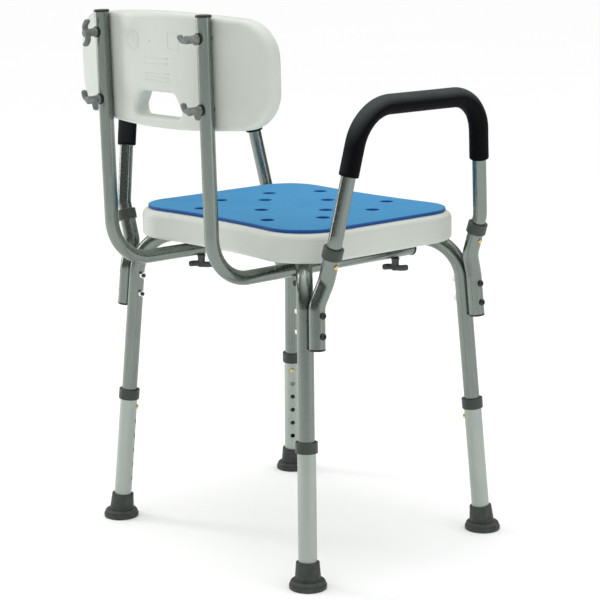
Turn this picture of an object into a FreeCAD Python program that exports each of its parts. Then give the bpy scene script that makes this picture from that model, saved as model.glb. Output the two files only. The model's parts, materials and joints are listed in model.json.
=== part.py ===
import FreeCAD, Part
import math
import os

# Height-adjustable shower chair: two crossed leg tubes, telescoping legs, hollow plastic seat with
# a foam pad, curved backrest on two bent tubes, and two lift-off armrests with foam grips.
# Millimetres. +X is the sitter's left, -Y is the front, +Z is up, and the floor is at z = 0.
# The model is built about the middle of its four feet, then moved so that the origin lies on the
# floor under the middle of its bounding box.

os.makedirs("parts", exist_ok=True)

Vector = FreeCAD.Vector
UP = Vector(0, 0, 1)
REAR = Vector(0, 1, 0)
CORNERS = {
    "front_left": (1, -1),
    "front_right": (-1, -1),
    "rear_left": (1, 1),
    "rear_right": (-1, 1),
}
SIDES = {"left": 1, "right": -1}

# Fits
TUBE_FIT = 0.2            # radial gap between telescoping tubes
RUNNING_FIT = 0.05        # radial gap round a turning stud
CONTACT_GAP = 0.2         # gap left between pieces that are clamped face to face
BOLT_CLEARANCE = 0.3      # radial gap of a bolt in a drilled tube

# Leg frame and telescoping legs
FOOT_X = 235.0            # foot centre, sideways from the middle
FOOT_Y = 198.0            # foot centre, front to back from the middle
LEG_LEAN = 0.0895         # how far a leg leans towards the middle for each unit of height
FRAME_OD = 25.4
FRAME_WALL = 1.3
FRAME_TOP_Z = 491.5       # centreline of the frame tubes under the seat
FRAME_END_Z = 152.0       # lower ends of the frame tubes, inside the extensions
FRAME_BEND_R = 72.0
DIP_OUTER = 104.0         # where the lower tube starts to dip, from the crossing
DIP_INNER = 54.0          # where the lower tube runs level again
DIP_BEND_R = 45.0
LEG_WALL = 1.4
LEG_END_Z = 10.0
LEG_TOP_Z = 216.5
HOLE_PITCH = 25.4
HOLE_STEPS = 5
HOLE_R = 4.0
LEG_BUTTON_Z = 194.5
COLLAR_BELOW = 9.0        # how far a collar reaches below the end of its tube
COLLAR_ABOVE = 8.5        # how far its lip stands above that end
LEG_COLLAR_WALL = 2.95
COLLAR_LIP_FIT = 0.3
COLLAR_ROUND = 1.2

# Rubber feet
FOOT_BASE_R = 29.0
FOOT_STEP_Z = 6.5         # top of the wider lower disc
FOOT_STEP_ROUND = 1.2
FOOT_SHOULDER_R = 27.4
FOOT_BASE_H = 13.0
FOOT_BASE_ROUND = 4.5
FOOT_FLOOR_ROUND = 1.5
FOOT_NECK_R = 20.8
FOOT_TOP_R = 18.0
FOOT_TOP_Z = 40.0
FOOT_WASHER_T = 1.6
TREAD_R = 19.0
TREAD_W = 3.0
TREAD_DEPTH = 1.5

# Snap buttons and their springs
LEG_BUTTON_R = 3.8
ARM_BUTTON_R = 3.9
BUTTON_PROUD = 3.0        # how far a button stands out of the outer tube
SPRING_T = 0.8
SPRING_W = 8.0
SPRING_INSET = 1.1        # spring's outer face to the inside of its tube
SPRING_REACH = 20.0       # spring length past the button
SPRING_TAIL = 6.0         # spring length on the other side of the button

# Seat
SEAT_HALF_X = 216.0
SEAT_HALF_Y = 186.0
SEAT_Y = 4.0              # seat centre behind the middle of the feet
SEAT_CORNER_R = 76.0
SEAT_WAIST = 8.0          # how far the front and back edges are hollowed
SEAT_THICK = 45.0
SEAT_LIP = 13.5           # depth of the shallow pocket underneath
SEAT_LIP_W = 7.5
SEAT_TOP_ROUND = 12.0
SEAT_LOW_ROUND = 6.5
SHELL_WALL = 3.4
DRAIN_R = 9.6
DRAINS_Y = 1.0            # centre of the hole pattern from the seat's centre
DRAIN_SPOTS = ((124.0, 54.0), (80.0, 131.0), (73.0, 0.0), (0.0, 73.0))
PAD_INSET = 10.0
PAD_THICK = 6.4
PAD_ROUND = 1.5
PAD_HOLE_R = 11.0

# Threaded inserts and studs
STUD_R = 3.0
INSERT_R = 5.0
INSERT_LENGTH = 14.0
INSERT_DEPTH = 1.0        # inserts sit this far below their surface
BOSS_R = 11.0

# Cross bolt
CROSS_HEAD_R = 7.0
CROSS_HEAD_T = 4.0
CROSS_RELIEF = 1.5        # room round the bolt head under the seat
NUT_ACROSS = 10.0
NUT_T = 5.0
NUT_GAP = 0.05

# Back tubes
BACK_X = 122.5
BACK_OD = 22.2
BACK_WALL = 1.3
BACK_FRONT_Y = -138.0
UPRIGHT_Y = 281.7         # where the upright would meet the level run
BACK_BEND_R = 70.0
BACK_TOP_Z = 859.5
RECLINE = 1.5             # degrees
CAP_FLANGE = 1.0
CAP_T = 3.4
CAP_PLUG = 10.0

# Backrest panel
PANEL_HALF_X = 225.0
PANEL_LOW_Z = 689.0
PANEL_HIGH_Z = 864.0
PANEL_CORNER_R = 58.0
PANEL_SLOPE = 0.069       # how fast the top and bottom edges fall away towards the ends
PANEL_CROWN_HALF = 135.0  # half length of the arc in the middle of those edges
PANEL_BACK_R = 866.0
PANEL_THICK = 29.5
PANEL_ROUND = 9.5
PANEL_VOID_INSET = 8.0
HANDLE_LOW_Z = 706.0
HANDLE_HIGH_Z = 744.0
HANDLE_LOW_HALF = 64.0
HANDLE_HIGH_HALF = 40.0
HANDLE_CORNER_R = 11.0
HANDLE_ROUND = 6.0

# Wing knobs
WING_SPAN = 46.0
WING_CURL = 6.5           # how far a wing tip stands off the knob's middle line
WING_BULGE = 4.0
WING_T = 6.4
WING_H = 10.0
KNOB_STEM_R = 6.4
SEAT_KNOB_STEM = 11.0
BACK_KNOB_STEM = 12.0
BACK_KNOB_HIGH_Z = 829.5
BACK_KNOB_LOW_Z = 726.8
KNOB_WASHER_R = 8.5
KNOB_WASHER_T = 1.6
BACK_KNOB_TURNS = {
    "upper_left": 90.0,
    "upper_right": 0.0,
    "lower_left": -28.0,
    "lower_right": -16.0,
}
SEAT_KNOB_TURNS = {
    "front_left": 20.0,
    "front_right": -25.0,
    "rear_left": -30.0,
    "rear_right": 15.0,
}

# Arm receivers
RECEIVER_OD = 25.4
RECEIVER_WALL = 1.4
RECEIVER_END_Z = 370.0
RECEIVER_BEND_Z = 434.0   # where the receiver leaves its leg
SOCKET_LOW_Z = 470.0      # where its socket starts
SOCKET_TOP_Z = 515.0
ARM_X = 250.0             # socket axis at its top, sideways
ARM_Y = 158.0             # socket axis, front to back
SOCKET_LEAN = 0.31        # how far a socket leans outward for each unit of height
RECEIVER_BEND_R = 38.0
RECEIVER_COLLAR_WALL = 3.05
BOLT_LOW_Z = 390.0
BOLT_HIGH_Z = 421.0
BOLT_R = 3.0
BOLT_HEAD_R = 5.2
BOLT_HEAD_T = 3.0
BOLT_TAIL = 1.5
ARM_BUTTON_Z = 497.5

# Armrests
ARM_OD = 22.2
ARM_WALL = 1.3
ARM_END_Z = 480.0         # lower ends, inside the receivers
ARM_BEND_Z = 535.0        # where the tube turns from the socket's line
ARM_TOP_X = 278.4
ARM_TOP_Y = 124.4         # where a leg's line meets the top run
ARM_TOP_Z = 729.5
ARM_LOW_BEND_R = 45.0
ARM_TOP_BEND_R = 66.0
GRIP_OD = 31.0
GRIP_LOW_Z = 628.0

# Values that follow from the sizes above
LEG_OD = FRAME_OD + 2 * TUBE_FIT + 2 * LEG_WALL
FOOT_REACH = math.hypot(FOOT_X, FOOT_Y)
BACK_RUN_Z = FRAME_TOP_Z - FRAME_OD / 2 - BACK_OD / 2
KNOB_Y = BACK_X * FOOT_Y / FOOT_X          # where a back tube passes under a leg tube
SEAT_CEILING_Z = FRAME_TOP_Z + FRAME_OD / 2 + CONTACT_GAP
SEAT_LOW_Z = SEAT_CEILING_Z - SEAT_LIP
SEAT_HIGH_Z = SEAT_LOW_Z + SEAT_THICK
DIP = FRAME_OD + CONTACT_GAP
BOLT_HOLE_R = STUD_R + BOLT_CLEARANCE
PANEL_GAP_Y = UPRIGHT_Y - BACK_OD / 2 - CONTACT_GAP
PANEL_AXIS_Y = PANEL_GAP_Y - math.sqrt(PANEL_BACK_R ** 2 - BACK_X ** 2)
UPRIGHT_FOOT = Vector(0, UPRIGHT_Y, BACK_RUN_Z)
LEG_TRAVEL = HOLE_PITCH * HOLE_STEPS


# ---------------------------------------------------------------- shape helpers

def rod(start, heading, length, radius):
    """Round bar from a point along a heading."""
    return Part.makeCylinder(radius, length, start, heading)


def centred_rod(middle, heading, length, radius):
    """Round bar that reaches half its length to each side of a point."""
    heading = Vector(heading).normalize()
    return rod(middle - heading * (length / 2), heading, length, radius)


def ring(start, heading, length, outer_r, inner_r):
    """Round sleeve from a point along a heading."""
    return rod(start, heading, length, outer_r).cut(rod(start, heading, length, inner_r))


def place(shape, origin, z_heading, x_heading):
    """Copy a shape so that its z axis follows z_heading and its x axis is near x_heading."""
    z_axis = Vector(z_heading).normalize()
    y_axis = z_axis.cross(x_heading).normalize()
    x_axis = y_axis.cross(z_axis)
    copy = shape.copy()
    copy.Placement = FreeCAD.Placement(origin, FreeCAD.Rotation(x_axis, y_axis, z_axis, "ZXY"))
    return copy


def bent_path(points, radii):
    """Straight runs joined by tangent arcs, with one bend radius for each inner point."""
    edges = []
    start = points[0]
    for before, corner, after, radius in zip(points, points[1:], points[2:], radii):
        back = (before - corner).normalize()
        ahead = (after - corner).normalize()
        half_turn = (math.pi - back.getAngle(ahead)) / 2
        trim = radius * math.tan(half_turn)
        inward = (back + ahead).normalize()
        middle = corner + inward * (radius / math.cos(half_turn) - radius)
        edges.append(Part.LineSegment(start, corner + back * trim).toShape())
        edges.append(Part.Arc(corner + back * trim, middle, corner + ahead * trim).toShape())
        start = corner + ahead * trim
    edges.append(Part.LineSegment(start, points[-1]).toShape())
    return Part.Wire(edges)


def bent_bar(points, radii, radius):
    """Round bar along a bent path."""
    circle = Part.Circle(points[0], points[1] - points[0], radius).toShape()
    return bent_path(points, radii).makePipeShell([Part.Wire([circle])], True, False)


def bent_tube(points, radii, outer_r, inner_r):
    """Round tube along a bent path, open at both ends."""
    return bent_bar(points, radii, outer_r).cut(bent_bar(points, radii, inner_r))


def hexagon(across, height):
    """Six-sided nut blank standing on the XY plane."""
    radius = across / math.sqrt(3)
    turns = [math.radians(60 * step) for step in range(7)]
    corners = [Vector(radius * math.cos(turn), radius * math.sin(turn), 0) for turn in turns]
    return Part.Face(Part.makePolygon(corners)).extrude(Vector(0, 0, height))


def edges_at(shape, height):
    """Edges that lie in the level plane at a height."""
    slack = 0.01
    found = []
    for edge in shape.Edges:
        box = edge.BoundBox
        if abs(box.ZMin - height) < slack and abs(box.ZMax - height) < slack:
            found.append(edge)
    return found


def collar_at(end, heading, tube_r, inner_tube_r, wall):
    """Plastic collar on a tube's end, whose lip closes in round the tube that slides inside."""
    low = end - heading * COLLAR_BELOW
    body = Part.makeCylinder(tube_r + wall, COLLAR_BELOW + COLLAR_ABOVE)
    body = body.makeFillet(COLLAR_ROUND, edges_at(body, 0) + edges_at(body, COLLAR_BELOW + COLLAR_ABOVE))
    body = place(body, low, heading, Vector(1, 0, 0))
    body = body.cut(rod(low, heading, COLLAR_BELOW, tube_r))
    return body.cut(rod(low, heading, COLLAR_BELOW + COLLAR_ABOVE, inner_tube_r + COLLAR_LIP_FIT))


def snap_button(tube_inner_r, outer_r, radius):
    """Domed pin along +X, from the spring inside a tube to just outside the outer tube."""
    root = tube_inner_r - SPRING_INSET
    tip = outer_r + BUTTON_PROUD
    pin = Part.makeCylinder(radius, tip - root, Vector(root, 0, 0), Vector(1, 0, 0))
    rim = [edge for edge in pin.Edges if abs(edge.BoundBox.XMin - tip) < 0.01]
    return pin.makeFillet(radius * 0.6, rim)


def snap_spring(tube_inner_r):
    """Strip spring bent into a U inside a tube; the button sits on its leg at +X."""
    middle = tube_inner_r - SPRING_INSET - SPRING_T / 2
    pieces = []
    for offset in (SPRING_T / 2, -SPRING_T / 2):
        r = middle + offset
        bend = Part.Arc(Vector(r, 0, SPRING_REACH), Vector(0, 0, SPRING_REACH + r), Vector(-r, 0, SPRING_REACH))
        outline = [
            Part.LineSegment(Vector(r, 0, -SPRING_TAIL), Vector(r, 0, SPRING_REACH)).toShape(),
            bend.toShape(),
            Part.LineSegment(Vector(-r, 0, SPRING_REACH), Vector(-r, 0, -SPRING_TAIL)).toShape(),
            Part.LineSegment(Vector(-r, 0, -SPRING_TAIL), Vector(r, 0, -SPRING_TAIL)).toShape(),
        ]
        face = Part.Face(Part.Wire(outline))
        face.translate(Vector(0, -SPRING_W / 2, 0))
        pieces.append(face.extrude(Vector(0, SPRING_W, 0)))
    return pieces[0].cut(pieces[1])


def wing_knob(stem, stud_length, turn):
    """S-winged knob on the XY plane with its stud below, as a head and a stud."""
    tip = (WING_SPAN - WING_T) / 2
    middle = Vector(0, 0, stem)
    left = Part.Arc(Vector(-tip, WING_CURL, stem), Vector(-tip / 2, -WING_BULGE, stem), middle)
    right = Part.Arc(middle, Vector(tip / 2, WING_BULGE, stem), Vector(tip, -WING_CURL, stem))
    outline = Part.Wire([left.toShape(), right.toShape()]).makeOffset2D(WING_T / 2)
    wing = Part.Face(outline).extrude(Vector(0, 0, WING_H))
    head = wing.fuse(Part.makeCylinder(KNOB_STEM_R, stem + WING_H)).removeSplitter()
    stud = Part.makeCylinder(STUD_R, stud_length, Vector(0, 0, -stud_length))
    knob = Part.makeCompound([head, stud])
    knob.rotate(Vector(0, 0, 0), UP, turn)
    return knob


# ---------------------------------------------------------------- places

def leg_point(corner, height):
    """Point on a leg's axis at a height."""
    side, end = CORNERS[corner]
    reach = 1 - LEG_LEAN * height / FOOT_REACH
    return Vector(side * FOOT_X * reach, end * FOOT_Y * reach, height)


def leg_heading(corner):
    """Direction up a leg."""
    return (leg_point(corner, 1) - leg_point(corner, 0)).normalize()


def leg_inward(corner):
    """Direction square to a leg, towards the middle of the chair."""
    centre = Vector(0, 0, 0) - leg_point(corner, 0)
    heading = leg_heading(corner)
    return (centre - heading * centre.dot(heading)).normalize()


def receiver_point(corner, height):
    """Point on the axis of a receiver's lower part, which runs beside the leg."""
    offset = FRAME_OD / 2 + RECEIVER_OD / 2 + CONTACT_GAP
    return leg_point(corner, height) + Vector(CORNERS[corner][0] * offset, 0, 0)


def socket_point(corner, height):
    """Point on the axis of a receiver's socket."""
    side, end = CORNERS[corner]
    return Vector(side * (ARM_X + SOCKET_LEAN * (height - SOCKET_TOP_Z)), end * ARM_Y, height)


def socket_heading(side):
    """Direction up the two sockets on one side, along which the armrest lifts off."""
    return Vector(SIDES[side] * SOCKET_LEAN, 0, 1).normalize()


def socket_outward(side):
    """Direction square to a side's sockets, away from the chair."""
    heading = socket_heading(side)
    outward = Vector(SIDES[side], 0, 0)
    return (outward - heading * outward.dot(heading)).normalize()


def recline(shape):
    """Tilt a shape back about the foot of the uprights."""
    shape.rotate(UPRIGHT_FOOT, Vector(1, 0, 0), -RECLINE)
    return shape


def armrest_point(side, end, height):
    """Point on an armrest leg's line between its low bend and the top run."""
    low = Vector(SIDES[side] * (ARM_X + SOCKET_LEAN * (ARM_BEND_Z - SOCKET_TOP_Z)), end * ARM_Y, ARM_BEND_Z)
    high = Vector(SIDES[side] * ARM_TOP_X, end * ARM_TOP_Y, ARM_TOP_Z)
    return low + (high - low) * ((height - ARM_BEND_Z) / (ARM_TOP_Z - ARM_BEND_Z))


# ---------------------------------------------------------------- leg frame

def frame_tube(corner, opposite, dip):
    """One upside-down U from corner to corner, drilled for buttons, bolts, studs and the cross bolt."""
    level = leg_point(opposite, FRAME_TOP_Z) - leg_point(corner, FRAME_TOP_Z)
    level.normalize()
    points = [leg_point(corner, FRAME_END_Z), leg_point(corner, FRAME_TOP_Z)]
    radii = [FRAME_BEND_R]
    if dip:
        centre = Vector(0, 0, FRAME_TOP_Z)
        lowered = Vector(0, 0, FRAME_TOP_Z - dip)
        points += [centre - level * DIP_OUTER, lowered - level * DIP_INNER]
        points += [lowered + level * DIP_INNER, centre + level * DIP_OUTER]
        radii += [DIP_BEND_R] * 4
    points += [leg_point(opposite, FRAME_TOP_Z), leg_point(opposite, FRAME_END_Z)]
    radii.append(FRAME_BEND_R)
    tube = bent_tube(points, radii, FRAME_OD / 2, FRAME_OD / 2 - FRAME_WALL)
    drills = [centred_rod(Vector(0, 0, FRAME_TOP_Z - dip), UP, 2 * FRAME_OD, BOLT_HOLE_R)]
    for end in (corner, opposite):
        button = leg_point(end, LEG_BUTTON_Z)
        drills.append(rod(button, leg_inward(end), FRAME_OD, HOLE_R))
        for height in (BOLT_LOW_Z, BOLT_HIGH_Z):
            drills.append(centred_rod(leg_point(end, height), Vector(1, 0, 0), 2 * FRAME_OD, BOLT_HOLE_R))
        side, front = CORNERS[end]
        stud = Vector(side * BACK_X, front * KNOB_Y, FRAME_TOP_Z)
        drills.append(centred_rod(stud, UP, 2 * FRAME_OD, BOLT_HOLE_R))
    return tube.cut(drills)


def cross_bolt():
    """Bolt down through both frame tubes where they cross."""
    top = FRAME_TOP_Z + FRAME_OD / 2
    low = FRAME_TOP_Z - DIP - FRAME_OD / 2
    head = rod(Vector(0, 0, top), UP, CROSS_HEAD_T, CROSS_HEAD_R)
    head = head.makeFillet(CROSS_HEAD_T * 0.6, edges_at(head, top + CROSS_HEAD_T))
    shank_low = low - NUT_T - BOLT_TAIL
    return head.fuse(rod(Vector(0, 0, shank_low), UP, top - shank_low, BOLT_R))


def nut_blank():
    """Nut with a plain bore, standing on the XY plane."""
    return hexagon(NUT_ACROSS, NUT_T).cut(Part.makeCylinder(BOLT_R + NUT_GAP, NUT_T))


def cross_nut():
    """Nut under the crossing."""
    nut = nut_blank()
    nut.translate(Vector(0, 0, FRAME_TOP_Z - DIP - FRAME_OD / 2 - NUT_T))
    return nut


# ---------------------------------------------------------------- legs

def leg_extension(corner):
    """Lower leg tube that slides over the frame tube, with a row of height holes facing inward."""
    heading = leg_heading(corner)
    low = leg_point(corner, LEG_END_Z)
    length = (leg_point(corner, LEG_TOP_Z) - low).Length
    tube = ring(low, heading, length, LEG_OD / 2, FRAME_OD / 2 + TUBE_FIT)
    button = leg_point(corner, LEG_BUTTON_Z)
    holes = []
    for step in range(HOLE_STEPS + 1):
        centre = button - heading * (HOLE_PITCH * step)
        holes.append(rod(centre, leg_inward(corner), LEG_OD, HOLE_R))
    return tube.cut(holes)


def leg_collar(corner):
    """Grey collar on top of a leg extension."""
    end = leg_point(corner, LEG_TOP_Z)
    return collar_at(end, leg_heading(corner), LEG_OD / 2, FRAME_OD / 2, LEG_COLLAR_WALL)


def foot(corner):
    """Rubber foot: a level stepped base with rounded rims, and a socket that follows the leg."""
    centre = leg_point(corner, 0)
    heading = leg_heading(corner)
    base = rod(centre, UP, FOOT_STEP_Z, FOOT_BASE_R)
    base = base.makeFillet(FOOT_STEP_ROUND, edges_at(base, FOOT_STEP_Z))
    base = base.makeFillet(FOOT_FLOOR_ROUND, edges_at(base, 0))
    shoulder = rod(centre, UP, FOOT_BASE_H, FOOT_SHOULDER_R)
    shoulder = shoulder.makeFillet(FOOT_BASE_ROUND, edges_at(shoulder, FOOT_BASE_H))
    neck_low = leg_point(corner, FOOT_BASE_H / 2)
    neck_length = (leg_point(corner, FOOT_TOP_Z) - neck_low).Length
    neck = Part.makeCone(FOOT_NECK_R, FOOT_TOP_R, neck_length, neck_low, heading)
    bore_low = leg_point(corner, LEG_END_Z) - heading * FOOT_WASHER_T
    body = base.fuse([shoulder, neck]).cut(rod(bore_low, heading, FOOT_TOP_Z, LEG_OD / 2))
    tread = ring(centre, UP, TREAD_DEPTH, TREAD_R, TREAD_R - TREAD_W)
    return body.cut(tread)


def foot_washer(corner):
    """Steel washer inside a foot, under the tube's end."""
    heading = leg_heading(corner)
    low = leg_point(corner, LEG_END_Z) - heading * FOOT_WASHER_T
    return rod(low, heading, FOOT_WASHER_T, LEG_OD / 2)


def leg_button(corner):
    """Snap button of one leg, facing the middle of the chair."""
    button = snap_button(FRAME_OD / 2 - FRAME_WALL, LEG_OD / 2, LEG_BUTTON_R)
    return place(button, leg_point(corner, LEG_BUTTON_Z), leg_heading(corner), leg_inward(corner))


def leg_button_spring(corner):
    """Spring of one leg's snap button."""
    spring = snap_spring(FRAME_OD / 2 - FRAME_WALL)
    return place(spring, leg_point(corner, LEG_BUTTON_Z), leg_heading(corner), leg_inward(corner))


# ---------------------------------------------------------------- seat

def waisted_prism(inset, low, high):
    """Block with the seat's outline: straight sides, round corners, hollow front and back edges."""
    half_x = SEAT_HALF_X - inset
    half_y = SEAT_HALF_Y - inset
    corner_r = SEAT_CORNER_R - inset
    a = half_x - corner_r
    b = half_y - corner_r
    reach = (a * a / SEAT_WAIST + SEAT_WAIST) / 2
    tilt = math.asin(a / reach)
    middle = (math.pi / 2 + tilt) / 2
    edges = []
    for end in (1, -1):
        side_low = Vector(end * half_x, -end * b, 0)
        side_high = Vector(end * half_x, end * b, 0)
        edges.append(Part.LineSegment(side_low, side_high).toShape())
        arc_middle = Vector(a + corner_r * math.cos(middle), b + corner_r * math.sin(middle), 0)
        arc_end = Vector(a - corner_r * math.sin(tilt), b + corner_r * math.cos(tilt), 0)
        edges.append(Part.Arc(side_high, arc_middle * end, arc_end * end).toShape())
        hollow_end = Vector(-arc_end.x, arc_end.y, 0)
        hollow_middle = Vector(0, half_y - SEAT_WAIST, 0)
        edges.append(Part.Arc(arc_end * end, hollow_middle * end, hollow_end * end).toShape())
        far_middle = Vector(-arc_middle.x, arc_middle.y, 0)
        far_side = Vector(-half_x, b, 0)
        edges.append(Part.Arc(hollow_end * end, far_middle * end, far_side * end).toShape())
    face = Part.Face(Part.Wire(Part.__sortEdges__(edges)))
    face.translate(Vector(0, SEAT_Y, low))
    return face.extrude(Vector(0, 0, high - low))


def drain_centres():
    """Centres of the drain holes, mirrored left to right and front to back."""
    centres = []
    for x, y in DRAIN_SPOTS:
        for side in ((1, -1) if x else (1,)):
            for end in ((1, -1) if y else (1,)):
                centres.append(Vector(side * x, SEAT_Y + DRAINS_Y + end * y, 0))
    return centres


def knob_centres():
    """Corner names and points where the seat knobs' studs stand."""
    return {name: Vector(side * BACK_X, end * KNOB_Y, 0) for name, (side, end) in CORNERS.items()}


def seat_shell():
    """Blow-moulded seat: a closed hollow slab with drain tubes and solid bosses for the inserts."""
    shell = waisted_prism(0, SEAT_LOW_Z, SEAT_HIGH_Z)
    shell = shell.makeFillet(SEAT_TOP_ROUND, edges_at(shell, SEAT_HIGH_Z))
    shell = shell.makeFillet(SEAT_LOW_ROUND, edges_at(shell, SEAT_LOW_Z))
    shell = shell.cut(waisted_prism(SEAT_LIP_W, SEAT_LOW_Z, SEAT_CEILING_Z))
    void_low = SEAT_CEILING_Z + SHELL_WALL
    void_high = SEAT_HIGH_Z - SHELL_WALL
    void = waisted_prism(SHELL_WALL, void_low, void_high)
    void = void.makeFillet(SEAT_TOP_ROUND - SHELL_WALL, edges_at(void, void_high))
    height = void_high - void_low
    posts = [rod(spot + UP * void_low, UP, height, DRAIN_R + SHELL_WALL) for spot in drain_centres()]
    posts += [rod(spot + UP * void_low, UP, height, BOSS_R) for spot in knob_centres().values()]
    relief_r = CROSS_HEAD_R + CROSS_RELIEF
    posts.append(rod(Vector(0, 0, void_low), UP, height, relief_r + SHELL_WALL))
    shell = shell.cut(void.cut(posts))
    drills = [rod(spot + UP * SEAT_LOW_Z, UP, SEAT_THICK, DRAIN_R) for spot in drain_centres()]
    insert_room = 2 * INSERT_DEPTH + INSERT_LENGTH
    for spot in knob_centres().values():
        drills.append(rod(spot + UP * SEAT_CEILING_Z, UP, insert_room, INSERT_R))
    relief_depth = CROSS_HEAD_T + CROSS_RELIEF
    drills.append(rod(Vector(0, 0, SEAT_CEILING_Z), UP, relief_depth, relief_r))
    return shell.cut(drills)


def seat_inserts():
    """Brass inserts in the seat's bosses."""
    low = SEAT_CEILING_Z + INSERT_DEPTH
    bore = STUD_R + RUNNING_FIT
    spots = knob_centres().values()
    return Part.makeCompound([ring(spot + UP * low, UP, INSERT_LENGTH, INSERT_R, bore) for spot in spots])


def seat_pad():
    """Foam pad on the seat, with holes over the drains."""
    pad = waisted_prism(PAD_INSET, SEAT_HIGH_Z, SEAT_HIGH_Z + PAD_THICK)
    pad = pad.makeFillet(PAD_ROUND, edges_at(pad, SEAT_HIGH_Z + PAD_THICK))
    return pad.cut([rod(spot + UP * SEAT_HIGH_Z, UP, PAD_THICK, PAD_HOLE_R) for spot in drain_centres()])


def seat_knob(corner):
    """Wing knob under the seat; its stud goes through the back tube and the leg tube."""
    low = BACK_RUN_Z - BACK_OD / 2 - CONTACT_GAP
    stud_length = SEAT_CEILING_Z + INSERT_DEPTH + INSERT_LENGTH - low
    knob = wing_knob(SEAT_KNOB_STEM, stud_length, SEAT_KNOB_TURNS[corner])
    return place(knob, knob_centres()[corner] + UP * low, UP * -1, Vector(1, 0, 0))


# ---------------------------------------------------------------- backrest

def back_top(x):
    """Top end of a back tube."""
    angle = math.radians(RECLINE)
    length = BACK_TOP_Z - BACK_RUN_Z
    return Vector(x, UPRIGHT_Y + length * math.tan(angle), BACK_TOP_Z)


def back_knob_spots():
    """Names and points on the uprights' axes where the back knobs go, before the recline."""
    spots = {}
    for level, height in (("upper", BACK_KNOB_HIGH_Z), ("lower", BACK_KNOB_LOW_Z)):
        for side, sign in SIDES.items():
            spots[level + "_" + side] = Vector(sign * BACK_X, UPRIGHT_Y, height)
    return spots


def back_tube(side):
    """Bent tube that runs level under the seat and up behind the backrest."""
    x = SIDES[side] * BACK_X
    points = [Vector(x, BACK_FRONT_Y, BACK_RUN_Z), Vector(x, UPRIGHT_Y, BACK_RUN_Z), back_top(x)]
    tube = bent_tube(points, [BACK_BEND_R], BACK_OD / 2, BACK_OD / 2 - BACK_WALL)
    drills = []
    for spot in knob_centres().values():
        if spot.x * x > 0:
            drills.append(centred_rod(spot + UP * BACK_RUN_Z, UP, 2 * BACK_OD, BOLT_HOLE_R))
    for spot in back_knob_spots().values():
        if spot.x * x > 0:
            drills.append(recline(centred_rod(spot, REAR, 2 * BACK_OD, BOLT_HOLE_R)))
    return tube.cut(drills)


def back_tube_caps():
    """Black caps in the four ends of the back tubes."""
    caps = []
    for sign in SIDES.values():
        x = sign * BACK_X
        top = back_top(x)
        rise = Vector(0, math.sin(math.radians(RECLINE)), math.cos(math.radians(RECLINE)))
        for end, outward in ((Vector(x, BACK_FRONT_Y, BACK_RUN_Z), REAR * -1), (top, rise)):
            disc = Part.makeCylinder(BACK_OD / 2 + CAP_FLANGE, CAP_T)
            disc = disc.makeFillet(CAP_T / 2, edges_at(disc, CAP_T))
            plug_r = BACK_OD / 2 - BACK_WALL
            cap = disc.fuse(Part.makeCylinder(plug_r, CAP_PLUG, Vector(0, 0, -CAP_PLUG)))
            caps.append(place(cap, end, outward, Vector(1, 0, 0)))
    return Part.makeCompound(caps)


def upright_outline(corners, radii, depth):
    """Block along Y whose outline in the XZ plane has rounded corners."""
    count = len(corners)
    edges = []
    ends = []
    for index, corner in enumerate(corners):
        back = (corners[index - 1] - corner).normalize()
        ahead = (corners[(index + 1) % count] - corner).normalize()
        half_turn = (math.pi - back.getAngle(ahead)) / 2
        trim = radii[index] * math.tan(half_turn)
        inward = (back + ahead).normalize()
        middle = corner + inward * (radii[index] / math.cos(half_turn) - radii[index])
        edges.append(Part.Arc(corner + back * trim, middle, corner + ahead * trim).toShape())
        ends.append((corner + back * trim, corner + ahead * trim))
    for index in range(count):
        edges.append(Part.LineSegment(ends[index - 1][1], ends[index][0]).toShape())
    face = Part.Face(Part.Wire(Part.__sortEdges__(edges)))
    return face.extrude(Vector(0, depth, 0))


def panel_block(inset, skin):
    """Curved slab of the backrest with crowned edges, inset from its outline and from its two faces."""
    half_x = PANEL_HALF_X - inset
    peak = PANEL_CROWN_HALF * PANEL_SLOPE / 2
    low = PANEL_LOW_Z + inset - peak
    high = PANEL_HIGH_Z - inset + peak
    fall = half_x * PANEL_SLOPE
    corners = [
        Vector(-half_x, 0, low + fall),
        Vector(0, 0, low),
        Vector(half_x, 0, low + fall),
        Vector(half_x, 0, high - fall),
        Vector(0, 0, high),
        Vector(-half_x, 0, high - fall),
    ]
    corner_r = PANEL_CORNER_R - inset
    crown_r = PANEL_CROWN_HALF / PANEL_SLOPE - inset
    radii = [corner_r, crown_r, corner_r, corner_r, crown_r, corner_r]
    block = upright_outline(corners, radii, 2 * UPRIGHT_Y)
    height = high - low
    base = Vector(0, PANEL_AXIS_Y, low)
    back_r = PANEL_BACK_R - skin
    front_r = PANEL_BACK_R - PANEL_THICK + skin
    return block.common(ring(base, UP, height, back_r, front_r))


def face_rims(shape, radii, inner=False):
    """Edges round the curved faces of the given radii, or round the holes in those faces."""
    rims = []
    for face in shape.Faces:
        surface = face.Surface
        if isinstance(surface, Part.Cylinder) and min(abs(surface.Radius - r) for r in radii) < 0.01:
            for wire in face.Wires:
                if wire.isSame(face.OuterWire) != inner:
                    rims += wire.Edges
    return rims


def handle_block(grow):
    """Tapered block of the handle hole, grown outward on every side."""
    low = HANDLE_LOW_Z - grow
    high = HANDLE_HIGH_Z + grow
    low_half = HANDLE_LOW_HALF + grow
    high_half = HANDLE_HIGH_HALF + grow
    corners = [
        Vector(-low_half, 0, low),
        Vector(low_half, 0, low),
        Vector(high_half, 0, high),
        Vector(-high_half, 0, high),
    ]
    return upright_outline(corners, [HANDLE_CORNER_R + grow] * 4, 2 * UPRIGHT_Y)


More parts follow.
